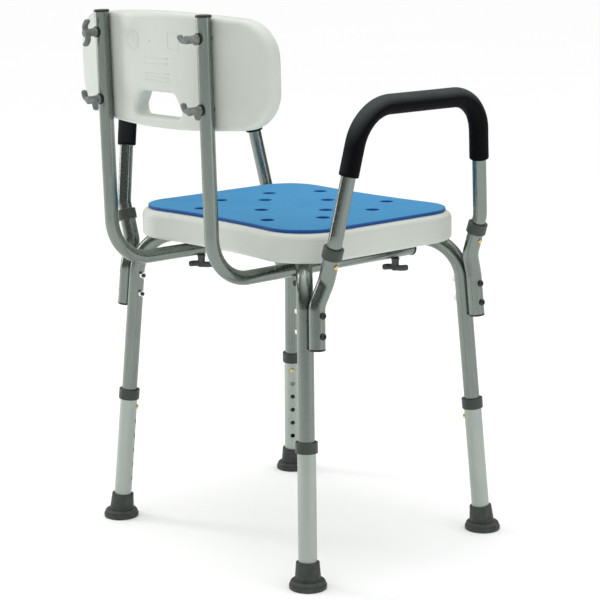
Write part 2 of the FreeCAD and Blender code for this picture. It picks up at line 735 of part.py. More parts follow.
def backrest_panel():
    """Blow-moulded backrest: a closed hollow curved slab with a handle hole and insert bosses."""
    faces = (PANEL_BACK_R, PANEL_BACK_R - PANEL_THICK)
    panel = panel_block(0, 0)
    panel = panel.makeFillet(PANEL_ROUND, face_rims(panel, faces))
    void = panel_block(PANEL_VOID_INSET, SHELL_WALL)
    posts = [handle_block(HANDLE_ROUND + SHELL_WALL)]
    drills = []
    for spot in back_knob_spots().values():
        mouth = Vector(spot.x, PANEL_GAP_Y, spot.z)
        posts.append(centred_rod(mouth, REAR, 2 * PANEL_THICK, BOSS_R))
        drills.append(rod(mouth, REAR * -1, 2 * INSERT_DEPTH + INSERT_LENGTH, INSERT_R))
        drills.append(rod(mouth, REAR, PANEL_THICK, INSERT_R))
    panel = panel.cut(void.cut(posts))
    panel = panel.cut(handle_block(0))
    panel = panel.makeFillet(HANDLE_ROUND, face_rims(panel, faces, inner=True))
    return recline(panel.cut(drills))


def backrest_inserts():
    """Brass inserts in the backrest."""
    inserts = []
    for spot in back_knob_spots().values():
        mouth = Vector(spot.x, PANEL_GAP_Y - INSERT_DEPTH, spot.z)
        inserts.append(ring(mouth, REAR * -1, INSERT_LENGTH, INSERT_R, STUD_R + RUNNING_FIT))
    return recline(Part.makeCompound(inserts))


def back_knob_washers():
    """Black washers between the uprights and the back knobs."""
    washers = []
    for spot in back_knob_spots().values():
        start = spot + REAR * (BACK_OD / 2 + CONTACT_GAP)
        washers.append(ring(start, REAR, KNOB_WASHER_T, KNOB_WASHER_R, BOLT_HOLE_R))
    return recline(Part.makeCompound(washers))


def back_knob(name):
    """Wing knob behind the backrest; its stud goes through the upright."""
    spot = back_knob_spots()[name]
    start = BACK_OD / 2 + KNOB_WASHER_T + 2 * CONTACT_GAP
    stud_length = start + UPRIGHT_Y - PANEL_GAP_Y + INSERT_DEPTH + INSERT_LENGTH
    knob = wing_knob(BACK_KNOB_STEM, stud_length, BACK_KNOB_TURNS[name])
    return recline(place(knob, spot + REAR * start, REAR, Vector(-1, 0, 0)))


# ---------------------------------------------------------------- arm receivers

def receiver(corner):
    """Bent socket bolted beside a leg, which holds one armrest leg."""
    points = [
        receiver_point(corner, RECEIVER_END_Z),
        receiver_point(corner, RECEIVER_BEND_Z),
        socket_point(corner, SOCKET_LOW_Z),
        socket_point(corner, SOCKET_TOP_Z),
    ]
    radii = [RECEIVER_BEND_R, RECEIVER_BEND_R]
    tube = bent_tube(points, radii, RECEIVER_OD / 2, RECEIVER_OD / 2 - RECEIVER_WALL)
    side = "left" if CORNERS[corner][0] > 0 else "right"
    drills = [rod(socket_point(corner, ARM_BUTTON_Z), socket_outward(side), RECEIVER_OD, HOLE_R)]
    for height in (BOLT_LOW_Z, BOLT_HIGH_Z):
        spot = receiver_point(corner, height)
        drills.append(centred_rod(spot, Vector(1, 0, 0), 2 * RECEIVER_OD, BOLT_HOLE_R))
    return tube.cut(drills)


def receiver_cap(corner):
    """Black cap in a receiver's lower end."""
    heading = leg_heading(corner)
    end = receiver_point(corner, RECEIVER_END_Z)
    disc = Part.makeCylinder((RECEIVER_OD + CONTACT_GAP) / 2, CAP_T)
    disc = disc.makeFillet(CAP_T / 2, edges_at(disc, CAP_T))
    plug_r = RECEIVER_OD / 2 - RECEIVER_WALL
    cap = disc.fuse(Part.makeCylinder(plug_r, CAP_PLUG, Vector(0, 0, -CAP_PLUG)))
    return place(cap, end, heading * -1, Vector(1, 0, 0))


def receiver_collar(corner):
    """Grey collar on top of a receiver."""
    side = "left" if CORNERS[corner][0] > 0 else "right"
    end = socket_point(corner, SOCKET_TOP_Z)
    return collar_at(end, socket_heading(side), RECEIVER_OD / 2, ARM_OD / 2, RECEIVER_COLLAR_WALL)


def bolt_span():
    """Distance from a bolt's head to its nut, across a receiver and a leg tube and their lean."""
    lean_slack = BOLT_R * LEG_LEAN + CONTACT_GAP
    return RECEIVER_OD + FRAME_OD + CONTACT_GAP + 2 * lean_slack


def bolt_start(corner, height):
    """Point under a receiver bolt's head."""
    outward = RECEIVER_OD / 2 + BOLT_R * LEG_LEAN + CONTACT_GAP
    return receiver_point(corner, height) + Vector(CORNERS[corner][0] * outward, 0, 0)


def receiver_bolt(corner, height):
    """Button-head bolt from outside, through the receiver and the leg tube."""
    head = Part.makeCylinder(BOLT_HEAD_R, BOLT_HEAD_T)
    head = head.makeFillet(BOLT_HEAD_T * 0.6, edges_at(head, BOLT_HEAD_T))
    length = bolt_span() + NUT_T + BOLT_TAIL
    bolt = head.fuse(Part.makeCylinder(BOLT_R, length, Vector(0, 0, -length)))
    socket_depth = BOLT_HEAD_T / 2
    socket = hexagon(BOLT_HEAD_R * 0.8, socket_depth)
    socket.translate(Vector(0, 0, BOLT_HEAD_T - socket_depth))
    return place(bolt.cut(socket), bolt_start(corner, height), Vector(CORNERS[corner][0], 0, 0), UP)


def receiver_nut(corner, height):
    """Nut of one receiver bolt, on the inner side of the leg tube."""
    outward = Vector(CORNERS[corner][0], 0, 0)
    start = bolt_start(corner, height) - outward * bolt_span()
    return place(nut_blank(), start, outward * -1, UP)


def each_bolt(make):
    """The same fastener piece at both heights on all four receivers."""
    heights = (BOLT_LOW_Z, BOLT_HIGH_Z)
    return Part.makeCompound([make(corner, height) for corner in CORNERS for height in heights])


# ---------------------------------------------------------------- armrests

def side_corners(side):
    """Front and rear corner names of one side."""
    return ["front_" + side, "rear_" + side]


def armrest_tube(side):
    """Upside-down U that stands in the front and rear receivers of one side."""
    front, rear = side_corners(side)
    points = [
        socket_point(front, ARM_END_Z),
        armrest_point(side, -1, ARM_BEND_Z),
        armrest_point(side, -1, ARM_TOP_Z),
        armrest_point(side, 1, ARM_TOP_Z),
        armrest_point(side, 1, ARM_BEND_Z),
        socket_point(rear, ARM_END_Z),
    ]
    radii = [ARM_LOW_BEND_R, ARM_TOP_BEND_R, ARM_TOP_BEND_R, ARM_LOW_BEND_R]
    tube = bent_tube(points, radii, ARM_OD / 2, ARM_OD / 2 - ARM_WALL)
    outward = socket_outward(side)
    ends = (front, rear)
    holes = [rod(socket_point(corner, ARM_BUTTON_Z), outward, ARM_OD, HOLE_R) for corner in ends]
    return tube.cut(holes)


def armrest_grip(side):
    """Foam grip over the top of an armrest and down both its legs."""
    points = [
        armrest_point(side, -1, GRIP_LOW_Z),
        armrest_point(side, -1, ARM_TOP_Z),
        armrest_point(side, 1, ARM_TOP_Z),
        armrest_point(side, 1, GRIP_LOW_Z),
    ]
    return bent_tube(points, [ARM_TOP_BEND_R, ARM_TOP_BEND_R], GRIP_OD / 2, ARM_OD / 2)


def arm_button(corner):
    """Snap button of one armrest leg, facing outward."""
    side = "left" if CORNERS[corner][0] > 0 else "right"
    button = snap_button(ARM_OD / 2 - ARM_WALL, RECEIVER_OD / 2, ARM_BUTTON_R)
    return place(button, socket_point(corner, ARM_BUTTON_Z), socket_heading(side), socket_outward(side))


def arm_button_springs(side):
    """Springs of one armrest's two snap buttons, which reach up inside the tube."""
    springs = []
    for corner in side_corners(side):
        spring = snap_spring(ARM_OD / 2 - ARM_WALL)
        origin = socket_point(corner, ARM_BUTTON_Z)
        springs.append(place(spring, origin, socket_heading(side), socket_outward(side)))
    return Part.makeCompound(springs)


# ---------------------------------------------------------------- assembly

def all_parts():
    """Every sub-part by its node name."""
    parts = {
        "leg_frame_upper_tube": frame_tube("front_left", "rear_right", 0.0),
        "leg_frame_lower_tube": frame_tube("front_right", "rear_left", DIP),
        "cross_bolt": cross_bolt(),
        "cross_nut": cross_nut(),
        "leg_button_springs": Part.makeCompound([leg_button_spring(corner) for corner in CORNERS]),
        "seat_shell": seat_shell(),
        "seat_inserts": seat_inserts(),
        "seat_pad": seat_pad(),
        "back_tube_caps": back_tube_caps(),
        "backrest_panel": backrest_panel(),
        "backrest_inserts": backrest_inserts(),
        "back_knob_washers": back_knob_washers(),
        "receiver_caps": Part.makeCompound([receiver_cap(corner) for corner in CORNERS]),
        "receiver_collars": Part.makeCompound([receiver_collar(corner) for corner in CORNERS]),
        "receiver_bolts": each_bolt(receiver_bolt),
        "receiver_nuts": each_bolt(receiver_nut),
    }
    for corner in CORNERS:
        parts["leg_extension_" + corner] = leg_extension(corner)
        parts["leg_collar_" + corner] = leg_collar(corner)
        parts["foot_" + corner] = foot(corner)
        parts["foot_washer_" + corner] = foot_washer(corner)
        parts["leg_button_" + corner] = leg_button(corner)
        parts["arm_receiver_" + corner] = receiver(corner)
        parts["arm_button_" + corner] = arm_button(corner)
        parts["seat_knob_" + corner] = seat_knob(corner)
    for side in SIDES:
        parts["back_tube_" + side] = back_tube(side)
        parts["armrest_tube_" + side] = armrest_tube(side)
        parts["armrest_grip_" + side] = armrest_grip(side)
        parts["arm_button_springs_" + side] = arm_button_springs(side)
    for name in back_knob_spots():
        parts["back_knob_" + name] = back_knob(name)
    return parts


PARTS = all_parts()
WHOLE = Part.makeCompound(list(PARTS.values())).optimalBoundingBox(False, False)
ORIGIN = Vector(WHOLE.Center.x, WHOLE.Center.y, 0)
for node, shape in PARTS.items():
    shape.translate(ORIGIN * -1)
    shape.exportStep("parts/" + node + ".step")
    broken = [solid for solid in shape.Solids if not solid.isValid()]
    print(node, len(shape.Solids), "solids", round(shape.Volume), "mm3", "BROKEN" if broken else "")
print("nodes", len(PARTS), "origin moved by", ORIGIN, "size", WHOLE.XLength, WHOLE.YLength, WHOLE.ZLength)
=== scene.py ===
import json
import math
import bmesh
import bpy
from mathutils import Matrix, Vector, geometry, noise
from mathutils.bvhtree import BVHTree


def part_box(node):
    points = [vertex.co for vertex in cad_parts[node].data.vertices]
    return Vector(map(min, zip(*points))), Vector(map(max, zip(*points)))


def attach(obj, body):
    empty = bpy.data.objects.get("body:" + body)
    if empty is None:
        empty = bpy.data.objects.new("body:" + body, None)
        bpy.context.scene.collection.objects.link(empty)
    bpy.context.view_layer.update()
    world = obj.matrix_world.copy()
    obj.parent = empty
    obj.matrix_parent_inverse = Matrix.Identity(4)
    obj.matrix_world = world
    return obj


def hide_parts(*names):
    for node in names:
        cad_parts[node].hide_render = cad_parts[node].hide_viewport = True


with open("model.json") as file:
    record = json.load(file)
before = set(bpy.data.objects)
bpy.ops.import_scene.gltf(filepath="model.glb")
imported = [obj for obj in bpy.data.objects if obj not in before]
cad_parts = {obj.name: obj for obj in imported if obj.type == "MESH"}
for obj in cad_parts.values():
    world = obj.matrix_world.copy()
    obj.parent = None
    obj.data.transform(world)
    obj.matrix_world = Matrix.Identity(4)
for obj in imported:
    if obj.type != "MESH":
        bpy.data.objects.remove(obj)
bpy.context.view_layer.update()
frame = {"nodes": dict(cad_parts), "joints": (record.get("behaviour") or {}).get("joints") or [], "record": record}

# Metres. +X is the sitter's left, -Y the front, +Z up. Sizes repeat the CAD model's where a piece
# has to follow it, and places come from the CAD nodes' boxes.

NODES = frame["nodes"]
JOINTS = {joint["name"]: joint for joint in frame["joints"]}
CORNERS = ("front_left", "front_right", "rear_left", "rear_right")
SIDES = {"left": 1, "right": -1}
BACK_KNOBS = ("upper_left", "upper_right", "lower_left", "lower_right")

# Camera, from the middle of the four feet
CAMERA_OFFSET = Vector((-2.15037, 1.96244, 1.00076))
CAMERA_LOOK = Vector((0.72178, -0.66020, -0.20776))
CAMERA_ROLL = math.radians(-0.402)
CAMERA_LENS = 108.46
CAMERA_SENSOR = 36.0

# Seat pad
PAD_HALF_X = 0.206
PAD_HALF_Y = 0.176
PAD_CORNER_R = 0.066
PAD_WAIST = 0.008
PAD_EDGE_R = 0.0018
PAD_HOLE_R = 0.011
PAD_HOLES_Y = 0.001
PAD_HOLE_SPOTS = ((0.124, 0.054), (0.080, 0.131), (0.073, 0.0), (0.0, 0.073))
PAD_CROWN = 0.0008
PAD_DIMPLE = 0.0005
PAD_DIMPLE_REACH = 0.010
PAD_GRID = 0.009

# Armrest grips
ARM_LOW_X = 0.2562        # tube centreline where it leaves the socket's line
ARM_LOW_Y = 0.158
ARM_LOW_Z = 0.535
ARM_TOP_X = 0.2784
ARM_TOP_Y = 0.1244
ARM_TOP_Z = 0.7295
ARM_BEND_R = 0.066
GRIP_R = 0.0155
GRIP_BORE_R = 0.0111
GRIP_LOW_Z = 0.628
GRIP_END_ROUND = 0.0028

# Wing knobs
WING_SPAN = 0.046
WING_CURL = 0.0065
WING_BULGE = 0.004
WING_T = 0.0062
WING_H = 0.0098
WING_SQUARENESS = 0.62    # exponent of the wing's section: 1 is round, 0 is square
WING_WAIST = 0.92         # thickness at the middle, as a share of WING_T
WING_SWELL = 0.16         # share of WING_T gained towards the tips
WING_TIP_START = 0.9      # share of the half length where a tip starts to close
KNOB_HUB_R = 0.0064
KNOB_VOXEL = 0.0008
STUD_R = 0.003
SEAT_STEM = 0.011
BACK_STEM = 0.012
SEAT_STUD = 0.062
BACK_STUD = 0.036
SEAT_KNOB_TURNS = {"front_left": 20.0, "front_right": -25.0, "rear_left": -30.0, "rear_right": 15.0}
BACK_KNOB_TURNS = {"upper_left": 0.0, "upper_right": 90.0, "lower_left": 62.0, "lower_right": 74.0}

# Raised mould marks on the backrest's rear face: across the chair and up from the panel's middle
MARK_WIDTH = 0.0016
MARK_HEIGHT = 0.0005
MARK_RING = (0.052, 0.043, 0.0145)
MARK_DOT = (0.010, 0.043, 0.0012)
MARK_SQUARE = (-0.0445, 0.045, 0.0120)
MARK_SQUARE_ROUND = 0.0025
MARK_LINES = ((0.025, 0.018), (0.025, 0.0105), (0.024, -0.005), (0.024, -0.0105), (0.024, -0.016))
MARK_LINE_LENGTH = 0.057

# Room light: brightness of the background, and its colour by height from the horizon up
ROOM_STRENGTH = 1.74
ROOM_HORIZON = (0.045, 0.048, 0.045, 1)
ROOM_TOP = (1.0, 1.0, 1.0, 1)
ROOM_BETWEEN = ((0.35, (0.108, 0.112, 0.108, 1)), (0.6, (0.49, 0.50, 0.49, 1)))

# Soft boxes: name, place, width, height, watts, colour
SOFT_BOXES = (
    ("overhead", (0.2, 0.3, 3.2), 2.6, 2.6, 15, (1.0, 1.0, 1.0)),
    ("left_box", (3.1, 1.5, 1.5), 0.7, 2.2, 33, (1.0, 0.99, 0.97)),
    ("right_box", (-3.2, -1.0, 1.2), 0.8, 2.0, 9, (0.96, 0.98, 1.0)),
)

# CAD tubes with the darker anodised finish
DARK_TUBES = ("back_tube_left", "back_tube_right", "armrest_tube", "leg_frame", "arm_receiver")


# ---------------------------------------------------------------- mesh helpers

def new_object(name, verts, faces):
    """Mesh object from vertices and faces, with smooth faces and outward normals."""
    mesh = bpy.data.meshes.new(name)
    mesh.from_pydata([tuple(v) for v in verts], [], faces)
    built = bmesh.new()
    built.from_mesh(mesh)
    bmesh.ops.remove_doubles(built, verts=built.verts, dist=1e-7)
    bmesh.ops.recalc_face_normals(built, faces=built.faces)
    built.to_mesh(mesh)
    built.free()
    mesh.polygons.foreach_set("use_smooth", [True] * len(mesh.polygons))
    made = bpy.data.objects.new(name, mesh)
    bpy.context.scene.collection.objects.link(made)
    return made


def bent_line(points, radii, arc_step, run_step):
    """Points along straight runs joined by tangent arcs, with one radius for each inner point."""
    line = [points[0].copy()]
    start = points[0]

    def run_to(end):
        steps = max(1, round((end - start).length / run_step))
        line.extend(start.lerp(end, step / steps) for step in range(1, steps + 1))

    for before, corner, after, radius in zip(points, points[1:], points[2:], radii):
        back = (before - corner).normalized()
        ahead = (after - corner).normalized()
        half_turn = (math.pi - back.angle(ahead)) / 2
        trim = radius * math.tan(half_turn)
        inward = (back + ahead).normalized()
        centre = corner + inward * (radius / math.cos(half_turn))
        run_to(corner + back * trim)
        spoke = corner + back * trim - centre
        axis = back.cross(ahead).normalized()
        steps = max(2, round(2 * half_turn / arc_step))
        for step in range(1, steps + 1):
            line.append(centre + Matrix.Rotation(-2 * half_turn * step / steps, 3, axis) @ spoke)
        start = line[-1]
    run_to(points[-1])
    return line


def headings_along(line):
    """Unit tangents of a polyline."""
    last = len(line) - 1
    return [(line[min(i + 1, last)] - line[max(i - 1, 0)]).normalized() for i in range(last + 1)]


def sweep(name, line, rings_at):
    """Closed skin of rings along a line, each (index on the line, radius, shift along the line)."""
    sides = 40
    headings = headings_along(line)
    spokes = []
    across = headings[0].orthogonal().normalized()
    for heading in headings:
        across = (across - heading * across.dot(heading)).normalized()
        spokes.append((across.copy(), heading.cross(across)))
    verts = []
    faces = []
    for index, radius, shift in rings_at:
        first, second = spokes[index]
        centre = line[index] + headings[index] * shift
        for k in range(sides):
            turn = 2 * math.pi * k / sides
            verts.append(centre + (first * math.cos(turn) + second * math.sin(turn)) * radius)
    rings = len(rings_at)
    for ring in range(rings):
        after = (ring + 1) % rings
        for k in range(sides):
            beside = (k + 1) % sides
            faces.append((ring * sides + k, ring * sides + beside, after * sides + beside, after * sides + k))
    return new_object(name, verts, faces)


def applied(made, *modifiers):
    """Adds modifiers given as (type, settings) and bakes them into the object's mesh."""
    for kind, settings in modifiers:
        modifier = made.modifiers.new(kind.lower(), kind)
        for key, value in settings.items():
            setattr(modifier, key, value)
    evaluated = made.evaluated_get(bpy.context.evaluated_depsgraph_get())
    mesh = bpy.data.meshes.new_from_object(evaluated)
    made.modifiers.clear()
    made.data = mesh
    mesh.polygons.foreach_set("use_smooth", [True] * len(mesh.polygons))
    return made


def box_middle(node):
    """Middle of a CAD node's box."""
    low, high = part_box(node)
    return (low + high) / 2


# ---------------------------------------------------------------- material helpers

class Look:
    """A Principled material under construction, with texture nodes in object coordinates."""

    def __init__(self, name, roughness, metallic=0.0, specular=0.5):
        self.material = bpy.data.materials.new(name)
        self.material.use_nodes = True
        self.nodes = self.material.node_tree.nodes
        self.links = self.material.node_tree.links
        self.shader = self.nodes["Principled BSDF"]
        self.shader.inputs["Roughness"].default_value = roughness
        self.shader.inputs["Metallic"].default_value = metallic
        self.shader.inputs["Specular IOR Level"].default_value = specular
        self.place = self.nodes.new("ShaderNodeTexCoord").outputs["Object"]

    def stretched(self, scale):
        """Object coordinates scaled by a different amount along each axis."""
        mapping = self.nodes.new("ShaderNodeMapping")
        mapping.inputs["Scale"].default_value = scale
        self.links.new(self.place, mapping.inputs["Vector"])
        return mapping.outputs["Vector"]

    def noise(self, scale, detail=3.0, rough=0.55, place=None):
        """Fractal noise from 0 to 1."""
        texture = self.nodes.new("ShaderNodeTexNoise")
        texture.inputs["Scale"].default_value = scale
        texture.inputs["Detail"].default_value = detail
        texture.inputs["Roughness"].default_value = rough
        self.links.new(place or self.place, texture.inputs["Vector"])
        return texture.outputs["Fac"]

    def pores(self, scale, place=None):
        """Distance to the nearest cell centre, for foam pores and pebbled plastic."""
        texture = self.nodes.new("ShaderNodeTexVoronoi")
        texture.inputs["Scale"].default_value = scale
        self.links.new(place or self.place, texture.inputs["Vector"])
        return texture.outputs["Distance"]

    def ranged(self, value, low, high, from_low=0.0, from_high=1.0):
        """Value moved from one range to another."""
        ranger = self.nodes.new("ShaderNodeMapRange")
        ranger.inputs["From Min"].default_value = from_low
        ranger.inputs["From Max"].default_value = from_high
        ranger.inputs["To Min"].default_value = low
        ranger.inputs["To Max"].default_value = high
        self.links.new(value, ranger.inputs["Value"])
        return ranger.outputs["Result"]

    def mixed(self, factor, first, second):
        """Colour between two colours or colour sockets."""
        mix = self.nodes.new("ShaderNodeMix")
        mix.data_type = "RGBA"
        self.links.new(factor, mix.inputs["Factor"])
        for slot, colour in ((6, first), (7, second)):
            if isinstance(colour, tuple):
                mix.inputs[slot].default_value = (*colour, 1.0)
            else:
                self.links.new(colour, mix.inputs[slot])
        return mix.outputs[2]

    def slope(self):
        """How far a surface faces up, from -1 to 1."""
        split = self.nodes.new("ShaderNodeSeparateXYZ")
        self.links.new(self.nodes.new("ShaderNodeNewGeometry").outputs["Normal"], split.inputs[0])
        return split.outputs["Z"]

    def colour(self, socket):
        self.links.new(socket, self.shader.inputs["Base Color"])

    def roughness(self, socket):
        self.links.new(socket, self.shader.inputs["Roughness"])

    def bump(self, height, distance, strength=1.0):
        """Adds a bump of a given depth in metres; several stack up."""
        node = self.nodes.new("ShaderNodeBump")
        node.inputs["Strength"].default_value = strength
        node.inputs["Distance"].default_value = distance
        self.links.new(height, node.inputs["Height"])
        normal = self.shader.inputs["Normal"]
        if normal.is_linked:
            self.links.new(normal.links[0].from_socket, node.inputs["Normal"])
        self.links.new(node.outputs["Normal"], normal)


# ---------------------------------------------------------------- materials

def satin_aluminium(name, dark, light, roughness):
    """Anodised tube: grey with drawing lines along its length and a faint grain."""
    look = Look(name, roughness, metallic=1.0)
    tint = look.noise(14.0, 2.0)
    look.colour(look.mixed(tint, dark, light))
    lines = look.noise(1.0, 2.0, place=look.stretched((900.0, 900.0, 26.0)))
    grain = look.noise(1500.0, 2.0)
    look.roughness(look.ranged(lines, roughness - 0.06, roughness + 0.07, 0.3, 0.7))
    look.bump(lines, 0.00003, 0.5)
    look.bump(grain, 0.00002, 0.35)
    return look.material


def moulded_white():
    """Blow-moulded polyethylene: off-white with a pebbled skin and slow unevenness."""
    look = Look("moulded_white", 0.42, specular=0.45)
    cloud = look.noise(9.0, 3.0)
    look.colour(look.mixed(cloud, (0.60, 0.64, 0.585), (0.65, 0.685, 0.635)))
    look.shader.inputs["Subsurface Weight"].default_value = 0.08
    look.shader.inputs["Subsurface Radius"].default_value = (0.004, 0.004, 0.003)
    skin = look.noise(650.0, 3.0)
    look.roughness(look.ranged(look.noise(60.0, 2.0), 0.36, 0.50, 0.3, 0.7))
    look.bump(look.noise(16.0, 2.0), 0.0010, 0.35)
    look.bump(skin, 0.00006, 0.45)
    return look.material


def blue_foam():
    """Closed-cell foam sheet: blue top with fine pores, and painted shade that makes its sides darker."""
    look = Look("blue_foam", 0.66, specular=0.3)
    mottle = look.noise(22.0, 4.0)
    top = look.mixed(mottle, (0.008, 0.205, 0.440), (0.015, 0.245, 0.505))
    # painted shade: faces turned away from up get the darker blue
    painted_light_by_slope = look.ranged(look.slope(), 0.0, 1.0, 0.45, 0.95)
    look.colour(look.mixed(painted_light_by_slope, (0.006, 0.070, 0.300), top))
    look.shader.inputs["Sheen Weight"].default_value = 0.12
    look.shader.inputs["Sheen Roughness"].default_value = 0.5
    look.roughness(look.ranged(look.noise(300.0, 2.0), 0.58, 0.74, 0.3, 0.7))
    look.bump(look.pores(1100.0), 0.00010, 0.5)
    look.bump(look.noise(70.0, 3.0), 0.0003, 0.3)
    return look.material


def black_foam():
    """Foam rubber grip: near-black with a fine open skin, and a painted highlight that makes faces turned up
    lighter.
    """
    look = Look("black_foam", 0.6, specular=0.06)
    mottle = look.noise(60.0, 4.0)
    # painted highlight and painted shade: the lighter grey goes on faces turned up, the near-black on the sides
    painted_lit_top = look.mixed(mottle, (0.044, 0.050, 0.050), (0.066, 0.076, 0.076))
    painted_light_by_slope = look.ranged(look.slope(), 0.0, 1.0, 0.05, 0.65)
    look.colour(look.mixed(painted_light_by_slope, (0.0022, 0.0022, 0.0036), painted_lit_top))
    look.roughness(look.ranged(look.noise(240.0, 3.0), 0.50, 0.70, 0.3, 0.7))
    look.bump(look.pores(900.0), 0.00016, 0.6)
    look.bump(look.noise(120.0, 3.0), 0.0004, 0.35)
    return look.material


def grey_rubber():
    """Moulded rubber foot: dark green-grey, dusty where it is worn."""
    look = Look("grey_rubber", 0.6, specular=0.35)
    dust = look.ranged(look.noise(90.0, 5.0, 0.65), 0.0, 1.0, 0.35, 0.75)
    look.colour(look.mixed(dust, (0.036, 0.042, 0.038), (0.066, 0.074, 0.068)))
    look.roughness(look.ranged(look.noise(160.0, 3.0), 0.48, 0.7, 0.3, 0.7))
    look.bump(look.noise(800.0, 3.0), 0.00010, 0.5)
    return look.material


def tinted_plastic(name, dark, light, roughness):
    """Injection-moulded plastic of one tint, with a spark-eroded grain."""
    look = Look(name, roughness, specular=0.45)
    look.colour(look.mixed(look.noise(45.0, 3.0), dark, light))
    look.roughness(look.ranged(look.noise(220.0, 2.0), roughness - 0.06, roughness + 0.08, 0.3, 0.7))
    look.bump(look.noise(1400.0, 2.0), 0.00004, 0.5)
    return look.material


def polished_metal(name, dark, light, roughness):
    """Small bright metal part with faint turning marks."""
    look = Look(name, roughness, metallic=1.0)
    look.colour(look.mixed(look.noise(200.0, 3.0), dark, light))
    look.roughness(look.ranged(look.noise(500.0, 2.0), roughness - 0.06, roughness + 0.08, 0.3, 0.7))
    look.bump(look.noise(900.0, 2.0), 0.00002, 0.4)
    return look.material


def floor_paint():
    """Plain pale floor."""
    look = Look("floor_paint", 0.6, specular=0.2)
    look.colour(look.mixed(look.noise(0.8, 2.0), (0.965, 0.965, 0.965), (0.98, 0.98, 0.98)))
    return look.material


def all_materials():
    """One material for each of the record's slots."""
    plastic = tinted_plastic
    metal = satin_aluminium
    return {
        "aluminium": metal("satin_aluminium", (0.35, 0.395, 0.362), (0.40, 0.445, 0.412), 0.34),
        "dark_aluminium": metal("dark_aluminium", (0.185, 0.215, 0.195), (0.227, 0.258, 0.235), 0.24),
        "seat_plastic": moulded_white(),
        "pad_foam": blue_foam(),
        "grip_foam": black_foam(),
        "foot_rubber": grey_rubber(),
        "grey_plastic": plastic("grey_plastic", (0.032, 0.040, 0.035), (0.047, 0.056, 0.050), 0.42),
        "knob_plastic": plastic("knob_plastic", (0.125, 0.145, 0.135), (0.170, 0.190, 0.178), 0.40),
        "dark_knob_plastic": plastic("dark_knob_plastic", (0.040, 0.045, 0.047), (0.060, 0.066, 0.068), 0.42),
        "black_plastic": plastic("black_plastic", (0.010, 0.010, 0.011), (0.018, 0.018, 0.020), 0.40),
        "brass": polished_metal("brass", (0.66, 0.46, 0.16), (0.80, 0.60, 0.26), 0.24),
        "steel": polished_metal("steel", (0.50, 0.50, 0.50), (0.62, 0.62, 0.61), 0.35),
        "black_bolt": plastic("black_bolt", (0.008, 0.008, 0.009), (0.016, 0.016, 0.018), 0.30),
        "nut_steel": polished_metal("nut_steel", (0.60, 0.60, 0.60), (0.72, 0.72, 0.72), 0.18),
    }


def paint(made, slot):
    """Gives a piece the material of a slot."""
    made.data.materials.clear()
    made.data.materials.append(MATERIALS[slot])


# ---------------------------------------------------------------- seat pad

def waisted_loop(inset, height):
    """Ring of points round the pad's outline, moved in by inset: round corners, hollow front and back."""
    arc_steps, hollow_steps, side_steps = 14, 22, 20
    half_x, half_y, corner_r = PAD_HALF_X - inset, PAD_HALF_Y - inset, PAD_CORNER_R - inset
    a, b = half_x - corner_r, half_y - corner_r
    reach = (a * a / PAD_WAIST + PAD_WAIST) / 2
    tilt = math.asin(a / reach)
    hollow_r = reach - corner_r
    hollow_y = half_y - PAD_WAIST + hollow_r
    half = [Vector((half_x, b * (2 * step / side_steps - 1), 0)) for step in range(side_steps)]
    for step in range(arc_steps):
        turn = (math.pi / 2 + tilt) * step / arc_steps
        half.append(Vector((a + corner_r * math.cos(turn), b + corner_r * math.sin(turn), 0)))
    for step in range(hollow_steps):
        turn = tilt * (1 - 2 * step / hollow_steps)
        half.append(Vector((hollow_r * math.sin(turn), hollow_y - hollow_r * math.cos(turn), 0)))
    for step in range(arc_steps):
        turn = (math.pi / 2 + tilt) * (1 - step / arc_steps)
        half.append(Vector((-a - corner_r * math.cos(turn), b + corner_r * math.sin(turn), 0)))
    lift = Vector((0, 0, height))
    return [p + lift for p in half] + [lift - p for p in half]


def hole_loop(centre, inset, height):
    """Ring of points round a hole; inset moves it outward, into the foam."""
    steps = 28
    radius = PAD_HOLE_R + inset
    turns = [2 * math.pi * step / steps for step in range(steps)]
    return [centre + Vector((radius * math.cos(t), radius * math.sin(t), height)) for t in turns]


def pad_holes():
    """Centres of the pad's holes from the pad's middle."""
    centres = []
    for x, y in PAD_HOLE_SPOTS:
        for side in ((1, -1) if x else (1,)):
            for end in ((1, -1) if y else (1,)):
                centres.append(Vector((side * x, PAD_HOLES_Y + end * y, 0)))
    return centres


def pad_face(loops, height, first):
    """Triangulated flat face inside the outer loop and outside the holes, with a grid of inner points."""
    points = [Vector((p.x, p.y)) for loop in loops for p in loop]
    edges = []
    start = 0
    for loop in loops:
        count = len(loop)
        edges += [(start + k, start + (k + 1) % count) for k in range(count)]
        start += count
    holes = pad_holes()
    margin = 0.75 * PAD_GRID
    columns = int(PAD_HALF_X / PAD_GRID)
    rows = int(PAD_HALF_Y / PAD_GRID)
    outline = [Vector((p.x, p.y)) for p in waisted_loop(PAD_EDGE_R + margin, 0)]
    for i in range(-columns, columns + 1):
        for j in range(-rows, rows + 1):
            spot = Vector(((i + 0.5 * (j % 2)) * PAD_GRID, j * PAD_GRID))
            clear = all((spot - h.xy).length > PAD_HOLE_R + PAD_EDGE_R + margin for h in holes)
            if clear and inside(spot, outline):
                points.append(spot)
    verts, _, faces, _, _, _ = geometry.delaunay_2d_cdt(points, edges, [], 0, 1e-9)
    kept = []
    for face in faces:
        middle = sum((verts[k] for k in face), Vector((0, 0))) / len(face)
        off_holes = all((middle - h.xy).length > PAD_HOLE_R + PAD_EDGE_R * 0.9 for h in holes)
        if off_holes and inside_outline(middle):
            kept.append(tuple(first + k for k in face))
    return [Vector((v.x, v.y, height)) for v in verts], kept


def inside(spot, outline):
    """Whether a flat point lies inside a closed polygon."""
    hit = False
    for a, b in zip(outline, outline[1:] + outline[:1]):
        if (a.y > spot.y) != (b.y > spot.y) and spot.x < (b.x - a.x) * (spot.y - a.y) / (b.y - a.y) + a.x:
            hit = not hit
    return hit


PAD_FLAT_OUTLINE = [Vector((p.x, p.y)) for p in waisted_loop(PAD_EDGE_R * 0.9, 0)]


